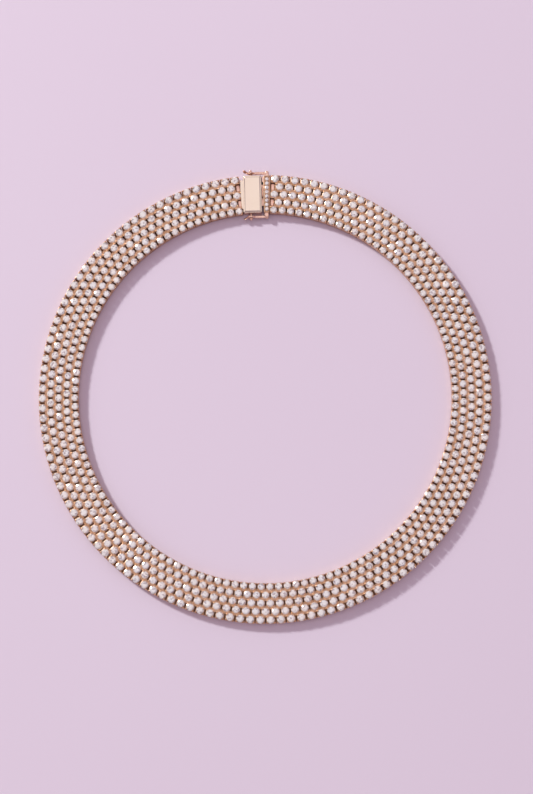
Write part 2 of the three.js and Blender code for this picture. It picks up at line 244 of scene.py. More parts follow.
def roseGold(name, look):
    material, nodes, links, shader = newMaterial(name)
    shader.inputs["Metallic"].default_value = 1.0
    place = nodes.new("ShaderNodeTexCoord")
    cloud = noiseNode(nodes, look["cloudScale"], polish["cloudDetail"])
    grain = noiseNode(nodes, look["grainScale"], polish["grainDetail"])
    tone = nodes.new("ShaderNodeValToRGB")
    setRamp(tone, [(polish["cloudFrom"], look["deep"]), (polish["cloudTo"], look["pale"])])
    wear = nodes.new("ShaderNodeMapRange")
    wear.inputs["To Min"].default_value = look["roughness"][0]
    wear.inputs["To Max"].default_value = look["roughness"][1]
    bump = nodes.new("ShaderNodeBump")
    bump.inputs["Strength"].default_value = polish["grainStrength"]
    bump.inputs["Distance"].default_value = look["grainDepth"] * mm
    paintedShadeMask = nodes.new("ShaderNodeAmbientOcclusion")  # painted shade: ambient occlusion darkens narrow gaps
    paintedShadeMask.samples = polish["paintedShadeSamples"]
    paintedShadeMask.inputs["Distance"].default_value = look["reach"] * mm
    depth = nodes.new("ShaderNodeMapRange")
    depth.inputs["From Min"].default_value = polish["paintedShadeFrom"]
    depth.inputs["From Max"].default_value = polish["paintedShadeTo"]
    blend = nodes.new("ShaderNodeMix")
    blend.data_type = "RGBA"
    blend.inputs["A"].default_value = (*look["paintedShade"], 1)
    links.new(place.outputs["Object"], cloud.inputs["Vector"])
    links.new(place.outputs["Object"], grain.inputs["Vector"])
    links.new(cloud.outputs["Fac"], tone.inputs["Fac"])
    links.new(paintedShadeMask.outputs["AO"], depth.inputs["Value"])
    links.new(depth.outputs["Result"], blend.inputs["Factor"])
    links.new(tone.outputs["Color"], blend.inputs["B"])
    links.new(blend.outputs["Result"], shader.inputs["Base Color"])
    links.new(grain.outputs["Fac"], wear.inputs["Value"])
    links.new(wear.outputs["Result"], shader.inputs["Roughness"])
    links.new(grain.outputs["Fac"], bump.inputs["Height"])
    links.new(bump.outputs["Normal"], shader.inputs["Normal"])
    return material


def clearStone(name):
    material, nodes, links, shader = newMaterial(name)
    shader.inputs["Transmission Weight"].default_value = clear["transmission"]
    shader.inputs["IOR"].default_value = clear["index"]
    shader.inputs["Roughness"].default_value = 0.0
    geometry = nodes.new("ShaderNodeNewGeometry")
    tone = nodes.new("ShaderNodeValToRGB")  # each stone has one of the tints
    tone.color_ramp.interpolation = "CONSTANT"
    setRamp(tone, [(i / len(clear["tints"]), tint) for i, tint in enumerate(clear["tints"])])
    # painted reflection: every facet gets a painted light or dark shade from its normal, broken up
    # by small patches of painted sparkle
    spread = nodes.new("ShaderNodeVectorMath")
    spread.operation = "SCALE"
    spread.inputs["Scale"].default_value = clear["facetSpread"]
    paintedFacetMask = noiseNode(nodes, 1.0, 0)
    place = nodes.new("ShaderNodeTexCoord")
    paintedSparkleMask = nodes.new("ShaderNodeTexVoronoi")
    paintedSparkleMask.inputs["Scale"].default_value = 1 / (clear["paintedSparkleSize"] * mm)
    split = nodes.new("ShaderNodeSeparateColor")
    both = nodes.new("ShaderNodeMix")
    both.data_type = "FLOAT"
    both.inputs["Factor"].default_value = clear["paintedSparkleShare"]
    paintedFacetShade = nodes.new("ShaderNodeValToRGB")
    setRamp(paintedFacetShade, [(clear["darkUpTo"], clear["paintedDarkFacet"]),
                    (clear["brightFrom"], clear["paintedBrightFacet"])])
    blend = nodes.new("ShaderNodeMix")
    blend.data_type, blend.blend_type = "RGBA", "MULTIPLY"
    blend.inputs["Factor"].default_value = 1.0
    links.new(geometry.outputs["Random Per Island"], tone.inputs["Fac"])
    links.new(geometry.outputs["True Normal"], spread.inputs[0])
    links.new(spread.outputs["Vector"], paintedFacetMask.inputs["Vector"])
    links.new(place.outputs["Object"], paintedSparkleMask.inputs["Vector"])
    links.new(paintedSparkleMask.outputs["Color"], split.inputs["Color"])
    links.new(paintedFacetMask.outputs["Fac"], both.inputs["A"])
    links.new(split.outputs["Red"], both.inputs["B"])
    links.new(both.outputs["Result"], paintedFacetShade.inputs["Fac"])
    links.new(tone.outputs["Color"], blend.inputs["A"])
    links.new(paintedFacetShade.outputs["Color"], blend.inputs["B"])
    links.new(blend.outputs["Result"], shader.inputs["Base Color"])
    return material


finishes = {name: roseGold(name, look) for name, look in golds.items()}
finishes["clear_stone"] = clearStone("clear_stone")
print("materials made")


def addFinished(name, part, finish, *replaces, **more):  # takes the material of the finish by name
    return addPiece(name, part, finishes[finish], finish, replaces, **more)


# Places that the frame gives

band = {
    "rows": ["stone_row_1_outer", "stone_row_2", "stone_row_3_middle", "stone_row_4",
             "stone_row_5_inner"],
    "rowHalfWidth": 1.115,
    "stonesInFullRow": 136,
    "claspSpanDegrees": 10.6,  # between the first and the last stone of a full row
}
lastRow = len(band["rows"]) - 1
middleRow = lastRow // 2
rowBoxes = [[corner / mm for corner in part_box(name)] for name in band["rows"]]
rowRadii = [high.x - band["rowHalfWidth"] for low, high in rowBoxes]
ringY = rowBoxes[0][0].y + rowBoxes[0][1].x
stoneTop = rowBoxes[0][1].z
stoneStep = math.radians(360 - band["claspSpanDegrees"]) / (band["stonesInFullRow"] - 1)
firstStone = math.radians(band["claspSpanDegrees"]) / 2


def ringPoint(angle, radius, z):  # angle clockwise from +Y
    return (radius * math.sin(angle), ringY + radius * math.cos(angle), z)


def isStaggered(row):
    return row % 2 == 1


# Round brilliant: its girdle is at height 0

facets = {"tableShare": 0.58, "crownDegrees": 22, "pavilionDegrees": 40.8, "girdle": 0.05,
          "lowerShare": 0.24}


def brilliant(diameter):
    radius, girdle = diameter / 2, facets["girdle"]
    table = radius * facets["tableShare"]
    crown = (radius - table) * math.tan(math.radians(facets["crownDegrees"]))
    depth = radius * math.tan(math.radians(facets["pavilionDegrees"]))
    half = math.pi / 8  # half a side of the table
    star = (table * math.cos(half) + radius) / 2
    lower = radius * facets["lowerShare"]

    def ringOf(count, reach, z, shift=0.0):
        return [(reach * math.cos((k + shift) * 2 * math.pi / count),
                 reach * math.sin((k + shift) * 2 * math.pi / count), z) for k in range(count)]

    rise = crown * (radius - star * math.cos(half)) / (radius - table)
    sink = -girdle - depth * (radius - lower * math.cos(half)) / radius
    corners = (ringOf(8, table, crown + girdle / 2) + ringOf(8, star, rise + girdle / 2, 0.5)
               + ringOf(16, radius, girdle / 2) + ringOf(16, radius, -girdle / 2)
               + ringOf(8, lower, sink, 0.5) + [(0, 0, -depth - girdle)])
    tableAt, starAt, topAt, underAt, lowerAt, culet = 0, 8, 16, 32, 48, 56
    faces = [tuple(range(8))]
    for k in range(8):
        after = (k + 1) % 8
        faces.append((tableAt + k, starAt + k, tableAt + after))
        faces.append((tableAt + k, starAt + (k - 1) % 8, topAt + 2 * k, starAt + k))
        faces.append((starAt + k, topAt + 2 * k, topAt + 2 * k + 1))
        faces.append((starAt + k, topAt + 2 * k + 1, topAt + 2 * after))
        faces.append((underAt + 2 * k, lowerAt + (k - 1) % 8, culet, lowerAt + k))
        faces.append((lowerAt + k, underAt + 2 * k + 1, underAt + 2 * k))
        faces.append((lowerAt + k, underAt + 2 * after, underAt + 2 * k + 1))
    for k in range(16):
        after = (k + 1) % 16
        faces.append((topAt + k, underAt + k, underAt + after, topAt + after))
    return corners, faces


# One link: an open-backed base as long as the pitch, a shorter square collet and four claws.
# Pairs in a profile are (inset from the outline, height), or what the note beside them says.

link = {
    "stoneShare": 0.795, "largestStone": 2.38,  # share of the pitch, and a limit
    "endShare": 0.77, "endLip": 0.15,  # of the links beside the clasp
    "halfWidth": 1.262, "freeGap": 0.03,  # stone to edge on a side with no row beside it
    "baseGap": 0.05, "baseWall": 0.3, "baseHeight": 0.55, "baseCorner": 0.12,
    "baseEase": (0.05, 0.06), "footStep": 0.15,
    "slot": 0.45, "colletCorner": 0.3, "smallestCorner": 0.1, "colletWall": 0.27, "colletTop": 2.46,
    "colletSink": 0.05, "grooveDepth": 0.08, "grooveTop": 1.2, "grooveEase": 0.12,
    "rimOutside": ((0, -0.09), (0.05, -0.01), (0.13, 0.02)),  # (inset, height from the top)
    "rimInside": ((-0.06, -0.02), (0, -0.12)), "wallTaper": 0.04,
    "girdleDrop": 0.32,
}
claw = {
    "gap": 0.12, "radius": 0.22, "foot": 0.4, "footShare": 0.9, "top": 3.04, "kneeDrop": 0.1,
    "lap": 0.03, "standOut": 0.02, "sides": 8,
    "bend": ((0.5, 0.98), (0.82, 0.78), (1, 0.4)),  # (share of the way to the tip, of the radius)
}
rail = {"top": 2.68, "height": 0.42, "depth": 0.56, "narrow": 0.24, "gap": 0.05, "steps": 9,
        "footInset": 0.01, "ease": (0.05, 0.06)}


def clawPart(foot, knee, tip):  # round post that bends over the edge of the stone
    radius = claw["radius"]
    levels = [(foot, radius * claw["footShare"]), (knee, radius)]
    levels += [(knee.lerp(tip, share), radius * size) for share, size in claw["bend"]]
    return loft([[(point.x + size * math.cos(t), point.y + size * math.sin(t), point.z)
                  for t in fullTurn(claw["sides"])] for point, size in levels])


def insetOutline(outline, inset):  # outline runs counter-clockwise
    loop = []
    for i, point in enumerate(outline):
        before, after = outline[i - 1], outline[(i + 1) % len(outline)]
        back, on = (point - before).normalized(), (after - point).normalized()
        normal = Vector((-back.y - on.y, back.x + on.x)).normalized()
        loop.append(point + normal * inset)
    return loop


def railPart(pitch, stoneRadius, side):  # bright edge between two rows, hollowed round the stone
    half, reach = link["halfWidth"], (pitch - rail["gap"]) / 2
    hold, shallow = half - rail["narrow"], half - rail["depth"]
    turn = math.acos(shallow / hold)
    outline = [Vector((-reach, half)), Vector((-reach, shallow))]
    for k in range(rail["steps"]):
        t = turn * (2 * k / (rail["steps"] - 1) - 1)
        outline.append(Vector((stoneRadius * math.sin(t), hold * math.cos(t))))
    outline += [Vector((reach, shallow)), Vector((reach, half))]
    if side < 0:
        outline = [Vector((x, -y)) for x, y in reversed(outline)]
    top, (easeIn, easeDown) = rail["top"], rail["ease"]
    profile = ((rail["footInset"], top - rail["height"]), (0, top - easeDown), (easeIn, top))
    return loft([[(p.x, p.y, z) for p in insetOutline(outline, inset)] for inset, z in profile])


def linkPart(pitch, stoneRadius, freeSides):  # a free side has no row beside it
    slim = max(band["rowHalfWidth"], stoneRadius + link["freeGap"])
    half = {side: slim if side in freeSides else link["halfWidth"] for side in (-1, 1)}
    step = {side: link["footStep"] if side in freeSides else 0 for side in (-1, 1)}
    rise, top = link["baseHeight"], link["colletTop"]

    baseU, wall, (easeIn, easeUp) = (pitch - link["baseGap"]) / 2, link["baseWall"], link["baseEase"]
    profile = ((easeIn, 0), (0, easeUp), (0, rise - easeUp), (easeIn, rise), (wall, rise), (wall, 0))
    base = loft([roundedLoop(-baseU + inset, baseU - inset, -half[-1] + step[-1] + inset,
                             half[1] - step[1] - inset, link["baseCorner"], z, 1)
                 for inset, z in profile], "joined")

    colletU, wall, sunk = (pitch - link["slot"]) / 2, link["colletWall"], rise - link["colletSink"]
    groove = link["grooveTop"]
    profile = [(link["grooveDepth"], sunk), (link["grooveDepth"], groove),
               (0, groove + link["grooveEase"])]
    profile += [(inset, top + up) for inset, up in link["rimOutside"]]
    profile += [(wall + inset, top + up) for inset, up in link["rimInside"]]
    profile += [(wall + link["wallTaper"], sunk)]
    collet = loft([roundedLoop(-colletU + inset, colletU - inset, -half[-1] + inset,
                               half[1] - inset,
                               max(link["colletCorner"] - inset, link["smallestCorner"]), z)
                   for inset, z in profile], "joined")

    parts = [base, collet]
    parts += [railPart(pitch, stoneRadius, side) for side in (-1, 1) if side not in freeSides]
    clawU = (pitch - claw["gap"]) / 2 - claw["radius"]
    for u in (-1, 1):
        for v in (-1, 1):
            clawV = half[v] - claw["radius"] + claw["standOut"]
            lean = (stoneRadius - claw["lap"]) / math.hypot(clawU, clawV)
            foot = Vector((u * clawU, v * clawV, claw["foot"]))
            knee = Vector((u * clawU, v * clawV, top - claw["kneeDrop"]))
            tip = Vector((u * clawU * lean, v * clawV * lean, claw["top"]))
            parts.append(clawPart(foot, knee, tip))
    return joined(parts)


def strungRow(part, row, turnAt=None, endReach=None):  # copies of a part along a row, as one part
    corners, faces = np.array(part[0]), part[1]
    count = band["stonesInFullRow"] - (1 if isStaggered(row) else 0)
    start = firstStone + (stoneStep / 2 if isStaggered(row) else 0)
    allCorners, allFaces = [], []
    for i in range(count):
        angle = start + i * stoneStep
        local = corners.copy() if turnAt is None else corners @ turnAt().T
        if endReach and i in (0, count - 1):  # cut square beside the clasp
            limits = (-endReach, np.inf) if i == 0 else (-np.inf, endReach)
            local[:, 0] = np.clip(local[:, 0], *limits)
        x, y = np.sin(angle), np.cos(angle)
        reach = rowRadii[row] + local[:, 1]
        allCorners.append(np.column_stack([reach * x + local[:, 0] * y,
                                           ringY + reach * y - local[:, 0] * x, local[:, 2]]))
        allFaces.extend(tuple(i * len(corners) + k for k in face) for face in faces)
    return np.vstack(allCorners).tolist(), allFaces


# Each stone sits turned and a touch tilted in its claws

setting = {"turnSpread": math.pi, "tiltDegrees": 2.2, "seed": 11}
chance = random.Random(setting["seed"])


def settingTurn():
    turn = Matrix.Rotation(chance.uniform(0, setting["turnSpread"]), 3, "Z")
    tip = Matrix.Rotation(math.radians(chance.gauss(0, setting["tiltDegrees"])), 3, "X")
    roll = Matrix.Rotation(math.radians(chance.gauss(0, setting["tiltDegrees"])), 3, "Y")
    return np.array(roll @ tip @ turn)


for row, node in enumerate(band["rows"]):
    pitch = rowRadii[row] * stoneStep
    diameter = min(pitch * link["stoneShare"], link["largestStone"])
    endReach = None if isStaggered(row) else pitch * link["endShare"] / 2 + link["endLip"]
    freeSides = [side for side, edge in ((1, 0), (-1, lastRow)) if row == edge]
    links = strungRow(linkPart(pitch, diameter / 2, freeSides), row, endReach=endReach)
    addFinished(f"links_row_{row + 1}", links, "rose_gold_setting", node, crease=40)
    lift = stoneTop - link["girdleDrop"]
    stones = moved(strungRow(brilliant(diameter), row, settingTurn),
                   lambda x, y, z, lift=lift: (x, y, z + lift))
    addFinished(f"stones_row_{row + 1}", stones, "clear_stone", node, crease=1)
print("rows set")


# Pins across the rows, which hinge each link to its neighbours

pins = {"radius": 0.27, "height": 0.72, "endInset": 0.25, "sides": 8, "domes": 2,
        "shift": 0.25}  # a quarter step, so that no pin lies under a gap
pinNear = rowRadii[lastRow] - band["rowHalfWidth"] + pins["endInset"]
pinFar = rowRadii[0] + band["rowHalfWidth"] - pins["endInset"]
pinParts = []
for i in range(-1, 2 * band["stonesInFullRow"] - 1):
    angle = firstStone + stoneStep * (i / 2 + pins["shift"])
    pinParts.append(wire([ringPoint(angle, reach, pins["height"]) for reach in (pinNear, pinFar)],
                         [pins["radius"]] * 2, pins["sides"], pins["domes"]))
addFinished("cross_pins", joined(pinParts), "rose_gold_polished")
print("pins set")


# Frame of the clasp: x along the band, y outwards, origin on the middle row

clasp = {"turnDegrees": 1.5, "length": 12.2, "clearance": 0.25, "mouthGap": 0.6, "barWidth": 2.1}
claspTurn = math.radians(clasp["turnDegrees"])
claspY = ringY + rowRadii[middleRow]
claspHalf = clasp["length"] / 2
ringInClasp = (rowRadii[middleRow] * math.sin(claspTurn), -rowRadii[middleRow] * math.cos(claspTurn))
rowEndAngle = firstStone - stoneStep * link["endShare"] / 2


def claspPlace(x, y, z):
    return (x * math.cos(claspTurn) + y * math.sin(claspTurn),
            claspY - x * math.sin(claspTurn) + y * math.cos(claspTurn), z)


def rowEndAt(side, y):  # x where the rows end on that side of the clasp
    lean = side * rowEndAngle - claspTurn
    return (ringInClasp[0] + (y - ringInClasp[1]) * math.tan(lean)
            - side * clasp["clearance"] / math.cos(lean))


def addToClasp(name, part, finish, *replaces, **more):
    return addFinished(name, moved(part, claspPlace), finish, *replaces, **more)


barLeft = rowEndAt(1, 0) - clasp["barWidth"]
boxRight = barLeft - clasp["mouthGap"]
boxLeft = rowEndAt(-1, -claspHalf)


# Blank half links, which fill the staggered rows beside the clasp

blank = {
    "height": 2.0, "corner": 0.2, "reach": 0.13, "gap": 0.05,
    "foot": ((0.05, 0), (0, 0.06)),
    "groove": ((0, 1.18), (0.1, 1.3), (0.1, 1.42), (0, 1.55)),
    "bevel": 0.15, "pillow": ((0, 1), (0.2, 0.5), (0.6, 0.2), (1.2, 0)),  # (inset, drop) in bevels
    "swell": (1.6, 0.02),  # (inset in bevels, rise)
}


def blankPart(row, side):
    radius = rowRadii[row]
    near = rowEndAngle * radius - blank["reach"]
    far = ((firstStone + stoneStep / 2) * radius - (radius * stoneStep - link["baseGap"]) / 2
           - blank["gap"])
    half, top, bevel = band["rowHalfWidth"], blank["height"], blank["bevel"]
    left, right = (near, far) if side > 0 else (-far, -near)
    profile = [*blank["foot"], *blank["groove"]]
    profile += [(bevel * across, top - bevel * drop) for across, drop in blank["pillow"]]
    profile += [(bevel * blank["swell"][0], top + blank["swell"][1])]
    loops = []
    for inset, z in profile:
        loop = roundedLoop(left + inset, right - inset, -half + inset, half - inset,
                           blank["corner"], z, 3)
        loops.append([ringPoint(u / radius, radius + v, z) for u, v, z in loop])
    return loft(loops)


for row in range(lastRow):
    if isStaggered(row):
        for side, place in ((-1, "box_side"), (1, "tongue_side")):
            addFinished(f"blank_row_{row + 1}_{place}", blankPart(row, side),
                        "rose_gold_polished", f"blank_link_row_{row + 1}_{place}")
print("blank links made")


# Box with its pocket for the tongue, its cover, lip and ball pegs

box = {
    "height": 2.45, "corner": 0.5, "smallestCorner": 0.12,
    "foot": ((0.12, 0), (0.03, 0.04), (0, 0.12)),
    "rim": ((0, 0.14), (0.04, 0.04), (0.14, 0)),  # (inset, drop from the top)
    "pocketCorner": 0.05, "pocketPast": 1,  # the pocket's cutter goes past the mouth
    "catchHeight": 1.45,
}
cover = {
    "inset": 0.06, "sink": 0.05, "edge": 0.4, "bevelWidth": 0.62, "bevelHeight": 0.33,
    "bevel": ((0.02, 0.08), (0.08, 0.16), (0.35, 0.46), (0.64, 0.74), (0.88, 0.955), (1, 1)),
    "crown": 0.07, "crownRun": 1.9, "crownSteps": 4,
}
lip = {"width": 0.85, "length": 9.4, "height": 2.4, "overlap": 0.3, "ease": 0.05, "topEase": 0.08}
peg = {"offset": -0.5, "ball": 0.51, "neck": 0.25, "reach": 1.66, "sink": 0.3, "neckInBall": 0.9,
       "ballDegrees": (40, 60, 80, 100, 120, 140, 160, 174), "sides": 16}
tongue = {
    "width": 7, "reach": 4.6, "bottom": 0.9, "strip": 0.32, "foldGap": 0.35, "clearance": 0.25,
    "root": 0.35, "ease": 0.03, "foldStep": 30, "mouthInset": 0.3,
    "tabWidth": 3.2, "tabOffset": 0.8, "tabHeight": 2.6, "tabCorner": 0.3, "tabEase": (0.06, 0.08),
    "mouthLow": -0.8, "mouthHigh": 3.3, "mouthReach": 0.6, "mouthCorner": 0.25,
    "mouthEase": (0.04, 0.05),
}
pegX = (boxLeft + boxRight) / 2 + peg["offset"]


def boxLoop(inset, z):
    return roundedLoop(boxLeft + inset, boxRight - inset, -claspHalf + inset, claspHalf - inset,
                       max(box["corner"] - inset, box["smallestCorner"]), z, 4)


def cutSlot(piece, left, right, half, low, high):
    loops = [roundedLoop(left, right, -half, half, box["pocketCorner"], z) for z in (low, high)]
    cutAway(piece, moved(loft(loops), claspPlace))


boxTop = box["height"]
profile = [*box["foot"], *((inset, boxTop - drop) for inset, drop in box["rim"])]
boxBody = addToClasp("box_body", loft([boxLoop(inset, z) for inset, z in profile]),
                     "rose_gold_polished", "clasp_box")
clearance, stripBottom, strip = tongue["clearance"], tongue["bottom"], tongue["strip"]
tongueTop = stripBottom + 2 * strip + tongue["foldGap"]
pocketHalf = tongue["width"] / 2 + clearance
cutSlot(boxBody, boxRight - tongue["reach"] - clearance, boxRight + box["pocketPast"], pocketHalf,
        stripBottom - clearance, tongueTop + clearance)

inset, edge = cover["inset"], boxTop + cover["edge"]
crownAt = edge + cover["bevelHeight"]
profile = [(inset + cover["sink"], boxTop - cover["sink"]), (inset, boxTop), (inset, edge)]
profile += [(inset + cover["bevelWidth"] * across, edge + cover["bevelHeight"] * up)
            for across, up in cover["bevel"]]
for step in range(1, cover["crownSteps"] + 1):
    share = step / cover["crownSteps"]
    profile.append((inset + cover["bevelWidth"] + cover["crownRun"] * share,
                    crownAt + cover["crown"] * math.sin(math.pi / 2 * share)))
addToClasp("box_cover", loft([boxLoop(inset, z) for inset, z in profile]),
           "rose_gold_cover", "clasp_box", crease=25)

lipHalf = lip["length"] / 2
lipLoops = []
for inset, z in [(lip["ease"], 0), (0, lip["ease"]), (0, lip["height"] - lip["topEase"]),
                 (lip["ease"], lip["height"])]:
    loop = []
    for y in (lipHalf - inset, lipHalf / 3, -lipHalf / 3, -lipHalf + inset):
        left = max(rowEndAt(-1, y) - clasp["clearance"], boxLeft - lip["width"])
        loop.append((left + inset, y, z))
    loop += [(boxLeft + lip["overlap"], -lipHalf + inset, z),
             (boxLeft + lip["overlap"], lipHalf - inset, z)]
    lipLoops.append(loop)
addToClasp("box_lip", loft(lipLoops), "rose_gold_cover", "clasp_box")

ball, neck = peg["ball"], peg["neck"]
profile = [(neck, -peg["sink"]), (neck, peg["reach"] - ball * peg["neckInBall"])]
profile += [(ball * math.sin(t), peg["reach"] - ball * math.cos(t))
            for t in inRadians(peg["ballDegrees"])]
pegParts = [moved(lathe(profile, peg["sides"]), lambda x, y, z, side=side: (
    pegX + x * side, side * (claspHalf + z), box["catchHeight"] + y)) for side in (-1, 1)]
addToClasp("ball_pegs", joined(pegParts), "rose_gold_polished", "clasp_box")
print("box made")


# Tongue: a strip folded at its tip, with a press tab at the mouth of the box

def stripPart(outline, low, high, ease):  # outline in x and z, drawn out along y with eased edges
    loops = []
    for y, inset in ((low, ease), (low + ease, 0), (high - ease, 0), (high, ease)):
        loop = []
        for i, point in enumerate(outline):
            before, after = Vector(outline[i - 1]), Vector(outline[(i + 1) % len(outline)])
            along = (after - before).normalized()
            loop.append((point[0] - along.y * inset, y, point[1] + along.x * inset))
        loops.append(loop)
    return loft(loops)


foldInner = tongue["foldGap"] / 2
foldOuter = foldInner + strip
foldX, foldZ = boxRight - tongue["reach"] + foldOuter, stripBottom + foldOuter
foldArc = inRadians(range(-90, -271, -tongue["foldStep"]))
root, mouthX = barLeft + tongue["root"], boxRight - tongue["mouthInset"]
outline = [(root, stripBottom)]
outline += [(foldX + foldOuter * math.cos(t), foldZ + foldOuter * math.sin(t)) for t in foldArc]
outline += [(mouthX, tongueTop), (mouthX, tongueTop - strip)]
outline += [(foldX + foldInner * math.cos(t), foldZ + foldInner * math.sin(t))
            for t in reversed(foldArc)]
outline += [(root, stripBottom + strip)]
tongueHalf = tongue["width"] / 2
tongueParts = [stripPart(outline, -tongueHalf, tongueHalf, tongue["ease"])]

tabRight = (boxRight + barLeft + strip) / 2
easeIn, easeUp = tongue["mouthEase"]
mouthLoops = []
for inset, z in ((easeIn, tongueTop - strip), (0, tongueTop - strip + easeUp),
                 (0, tongueTop - easeUp), (easeIn, tongueTop)):
    mouthLoops.append(roundedLoop(boxRight - tongue["mouthReach"], tabRight,
                                  tongue["mouthLow"] + inset, tongue["mouthHigh"] - inset,
                                  tongue["mouthCorner"], z, 3))
tongueParts.append(loft(mouthLoops))

tabLow = tongue["tabOffset"] - tongue["tabWidth"] / 2
tabHigh = tongue["tabOffset"] + tongue["tabWidth"] / 2
easeIn, easeAlong = tongue["tabEase"]
tabLoops = []
for inset, x in ((easeIn, tabRight - strip), (0, tabRight - strip + easeAlong),
                 (0, tabRight - easeAlong), (easeIn, tabRight)):
    loop = roundedLoop(tabLow + inset, tabHigh - inset, tongueTop - strip,
                       tongue["tabHeight"] - inset, tongue["tabCorner"], 0, 3)
    tabLoops.append([(x, u, v) for u, v, _ in loop])
tongueParts.append(loft(tabLoops))
addToClasp("tongue", joined(tongueParts), "rose_gold_polished", "clasp_tongue")
print("tongue made")


# Bar of small stones, with its rim, beads, guide, and the ears and pins of the catches

bar = {
    "height": 2.65, "corner": 0.35, "foot": 0.08, "bevel": 0.18, "bevelRound": 0.3,
    "rim": 0.26, "channel": 0.28, "channelTaper": 0.08, "slotPast": 1,
    "stones": 8, "step": 1.4, "stoneDiameter": 1.16, "stoneLift": 0.1,
    "bead": 0.17, "beadDegrees": (0, 30, 60, 85), "beadSides": 10, "beadAside": 0.42,
    "beadDrop": 0.02, "beadFoot": 0.4,
    "guideReach": 0.42, "guideLow": 3.9, "guideHigh": 5.7, "guideCorner": 0.15,
    "guideBottom": 0.3, "guideOverlap": 0.1, "guideFoot": (0.05, 0.06),
    "guideTop": ((0, 0.12), (0.06, 0.04)),  # (inset, drop from the top of the bar)
}
hinge = {
    "standoff": 1.05, "pinRadius": 0.25, "pinSides": 14, "pinHead": 0.08, "clearance": 0.15,
    "knuckleWall": 0.24, "knuckleHeight": 1, "knuckleEase": 0.06, "knuckleSides": 20,
    "ear": 0.35, "earSink": 0.3, "earBack": 0.25, "earCentre": 0.3, "earStep": 20,
    "earFoot": ((0.9, 0), (1, 0.07)),  # (share of the outline, rise)
    "earTop": ((1, 0.12), (0.93, 0.04), (0.8, 0)),  # (share of the outline, drop)
}
knuckleRadius = hinge["pinRadius"] + hinge["clearance"] + hinge["knuckleWall"]
hingeY = claspHalf + hinge["standoff"]


def hingeX(side):
    return (barLeft + rowEndAt(1, side * claspHalf)) / 2


def barLoop(inset, z):  # square on the left, and along the row ends on the right
    corner = bar["corner"]
    loop = []
    for side, quarters in ((-1, (180, 270)), (1, (0, 90))):
        right = rowEndAt(1, side * claspHalf) - inset
        for quarter in quarters:
            x = barLeft + inset + corner if quarter in (180, 90) else right - corner
            y = side * (claspHalf - inset - corner)
            loop += [(x + corner * math.cos(t), y + corner * math.sin(t), z)
                     for t in inRadians(range(quarter, quarter + 91, 30))]
    return loop


top, bevel = bar["height"], bar["bevel"]
eased = bevel * bar["bevelRound"]
profile = [(bar["foot"], 0), (0, bar["foot"]), (0, top - bevel), (eased, top - eased),
           (bevel, top), (bar["rim"], top), (bar["rim"] + bar["channelTaper"], top - bar["channel"])]
barBody = addToClasp("bar_body", loft([barLoop(inset, z) for inset, z in profile]),
                     "rose_gold_setting", "stone_bar")
cutSlot(barBody, barLeft - bar["slotPast"], root + clearance, pocketHalf,
        stripBottom - clearance, stripBottom + strip + clearance)

easeIn, easeUp = bar["guideFoot"]
profile = [(easeIn, bar["guideBottom"]), (0, bar["guideBottom"] + easeUp)]
profile += [(inset, top - drop) for inset, drop in bar["guideTop"]]
guide = [roundedLoop(barLeft - bar["guideReach"] + inset, barLeft + bar["guideOverlap"],
                     bar["guideLow"] + inset, bar["guideHigh"] - inset, bar["guideCorner"], z, 3)
         for inset, z in profile]
addToClasp("bar_guide", loft(guide), "rose_gold_polished", "stone_bar")


def barMiddle(place):  # place counts stones from the middle of the bar
    y = place * bar["step"]
    return (barLeft + rowEndAt(1, y)) / 2, y


barStones, beads = [], []
for i in range(bar["stones"]):
    x, y = barMiddle(i - (bar["stones"] - 1) / 2)
    turn = Matrix(settingTurn().tolist())
    corners, faces = brilliant(bar["stoneDiameter"])
    spots = [turn @ Vector(corner) for corner in corners]
    barStones.append(([(x + p.x, y + p.y, top + bar["stoneLift"] + p.z) for p in spots], faces))
profile = [(bar["bead"], -bar["beadFoot"])]
profile += [(bar["bead"] * math.cos(t), bar["bead"] * math.sin(t))
            for t in inRadians(bar["beadDegrees"])]
for i in range(bar["stones"] + 1):
    x, y = barMiddle(i - bar["stones"] / 2)
    for side in (-1, 1):
        aside = x + side * bar["stoneDiameter"] * bar["beadAside"]
        beads.append(moved(lathe(profile, bar["beadSides"]), lambda u, v, z, aside=aside, y=y: (
            aside + u, y + v, top - bar["beadDrop"] + z)))
addToClasp("bar_stones", joined(barStones), "clear_stone", "stone_bar", crease=1)
addToClasp("bar_beads", joined(beads), "rose_gold_setting", "stone_bar")


def earPart(side, low, high):
    x = hingeX(side)
    foot, centreY = side * (claspHalf - hinge["earSink"]), side * (hingeY - hinge["earCentre"])
    outline = [(x + knuckleRadius, foot)]
    outline += [(x + knuckleRadius * math.cos(t),
                 side * (hingeY - hinge["earBack"] + knuckleRadius * math.sin(t)))
                for t in inRadians(range(0, 181, hinge["earStep"]))]
    outline += [(x - knuckleRadius, foot)]
    if side < 0:
        outline.reverse()
    profile = [(share, low + up) for share, up in hinge["earFoot"]]
    profile += [(share, high - drop) for share, drop in hinge["earTop"]]
    return loft([[(x + (u - x) * share, centreY + (v - centreY) * share, z) for u, v in outline]
                 for share, z in profile])


hingeParts = []
earStart = hinge["knuckleHeight"] / 2 + hinge["clearance"]
for side in (-1, 1):
    for level in (-1, 1):
        low, high = sorted(box["catchHeight"] + level * z
                           for z in (earStart, earStart + hinge["ear"]))
        hingeParts.append(earPart(side, low, high))
    reach = earStart + hinge["ear"] + hinge["pinHead"]
    ends = [(hingeX(side), side * hingeY, box["catchHeight"] + level * reach) for level in (-1, 1)]
    hingeParts.append(wire(ends, [hinge["pinRadius"]] * 2, hinge["pinSides"]))
addToClasp("bar_hinges", joined(hingeParts), "rose_gold_polished", "stone_bar")
print("bar made")


